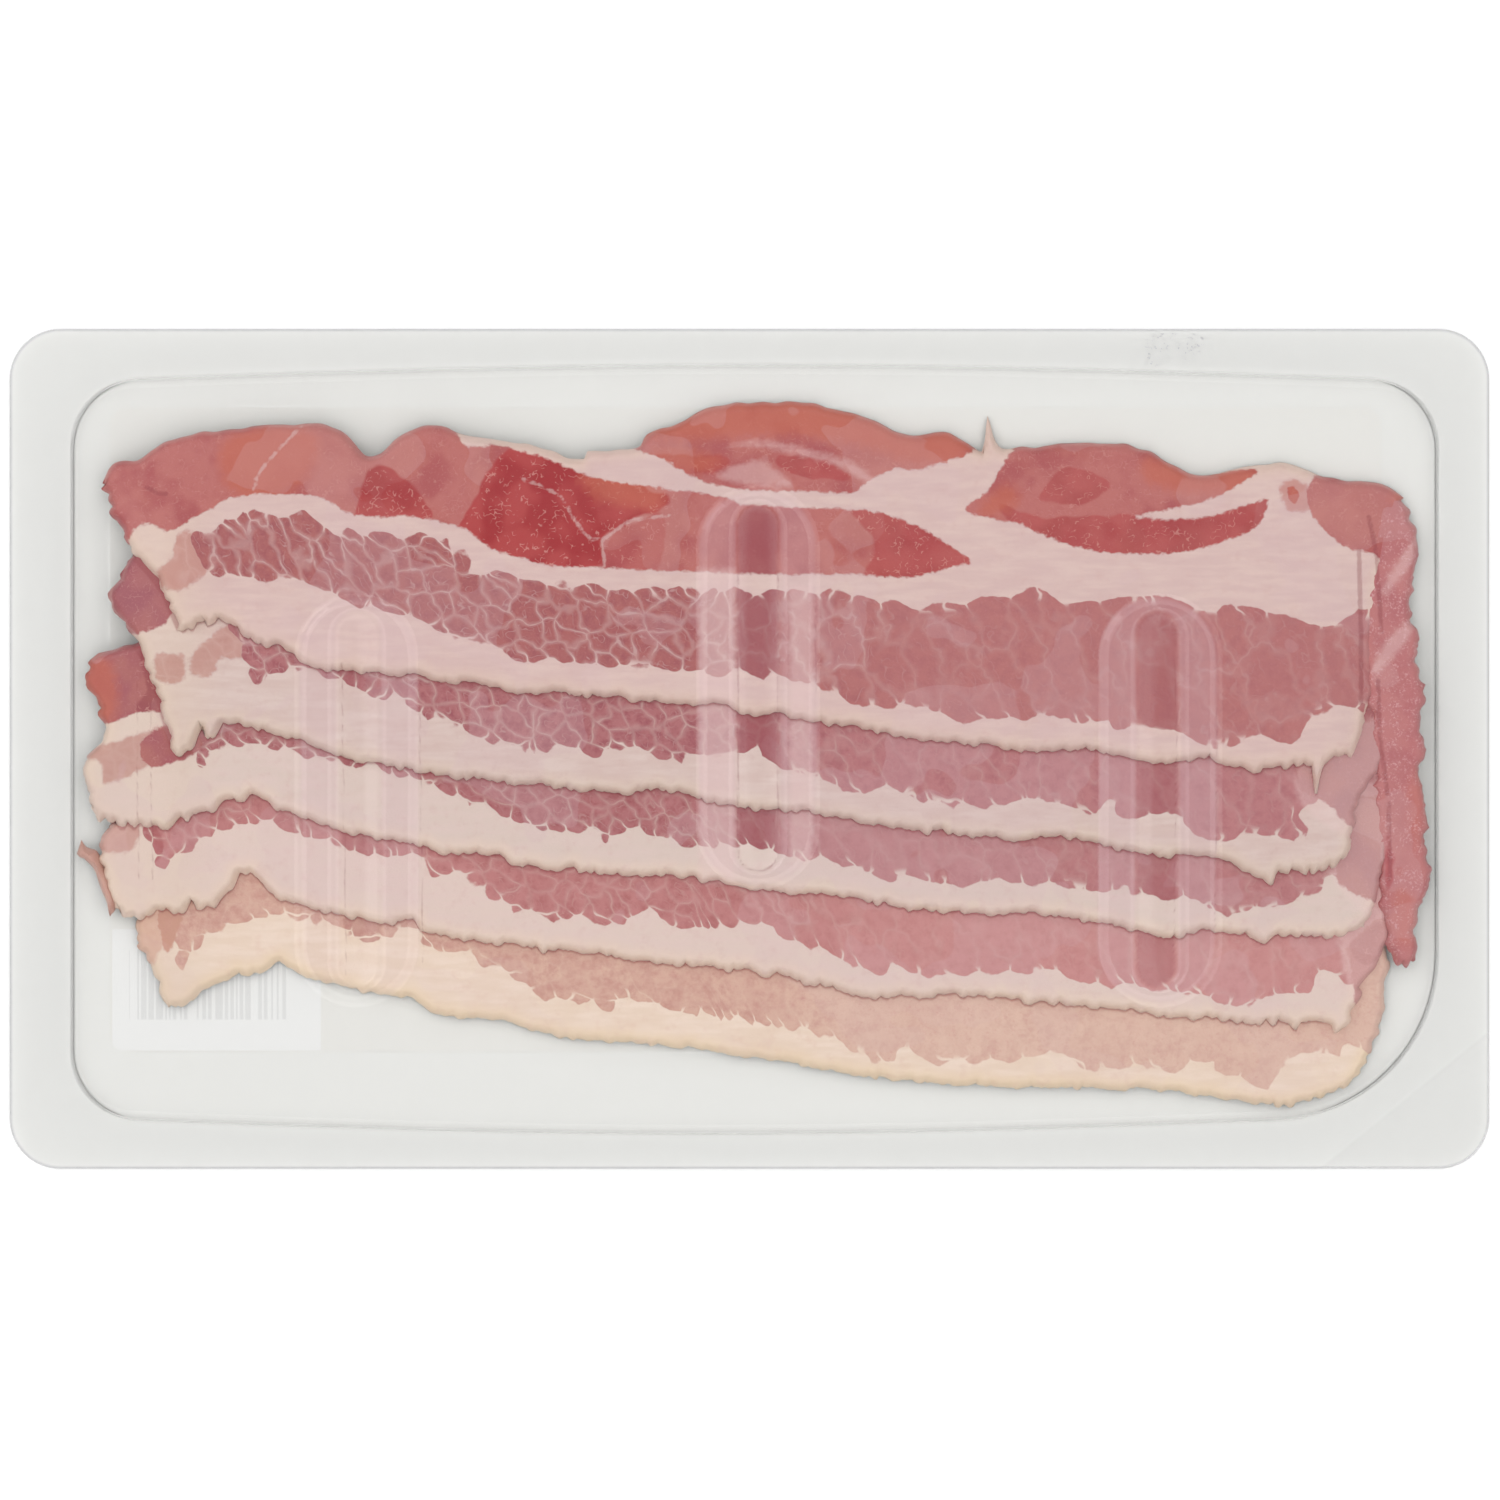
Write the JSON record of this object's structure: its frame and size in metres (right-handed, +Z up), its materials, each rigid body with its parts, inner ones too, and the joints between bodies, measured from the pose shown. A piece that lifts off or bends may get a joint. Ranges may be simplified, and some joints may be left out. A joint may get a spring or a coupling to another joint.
{
  "type": "sealed bacon pack",
  "caption": "Sealed pack of raw bacon: shingled streaky rashers under a clear ribbed formed tray, with a flat lid film and a white label underneath.",
  "frame": {"origin": "bottom centre of the bounding box, on the underside of the label", "axes": "+X along the pack's length, +Y from the rashers' fat edges to their lean edges, +Z up out of the ribbed side of the tray"},
  "size_m": [0.262, 0.1486, 0.0132],
  "materials": {
    "clear_tray": "thin clear formed sheet, slightly milky on the flange",
    "clear_film": "thin clear lidding film",
    "label_paper": "matt white label, print left bare",
    "rasher_1_meat": "moist raw bacon, rose lean and cream fat",
    "rasher_2_meat": "moist raw bacon, rose lean and cream fat",
    "rasher_3_meat": "moist raw bacon, rose lean and cream fat",
    "rasher_4_meat": "moist raw bacon, rose lean and cream fat",
    "rasher_5_meat": "moist raw bacon, pale lean and straw fat"
  },
  "bodies": {
    "root": {"tray": "clear_tray", "lid_film": "clear_film", "label": "label_paper", "rasher_1": "rasher_1_meat", "rasher_2": "rasher_2_meat", "rasher_3": "rasher_3_meat", "rasher_4": "rasher_4_meat", "rasher_5": "rasher_5_meat"}
  },
  "joints": []
}
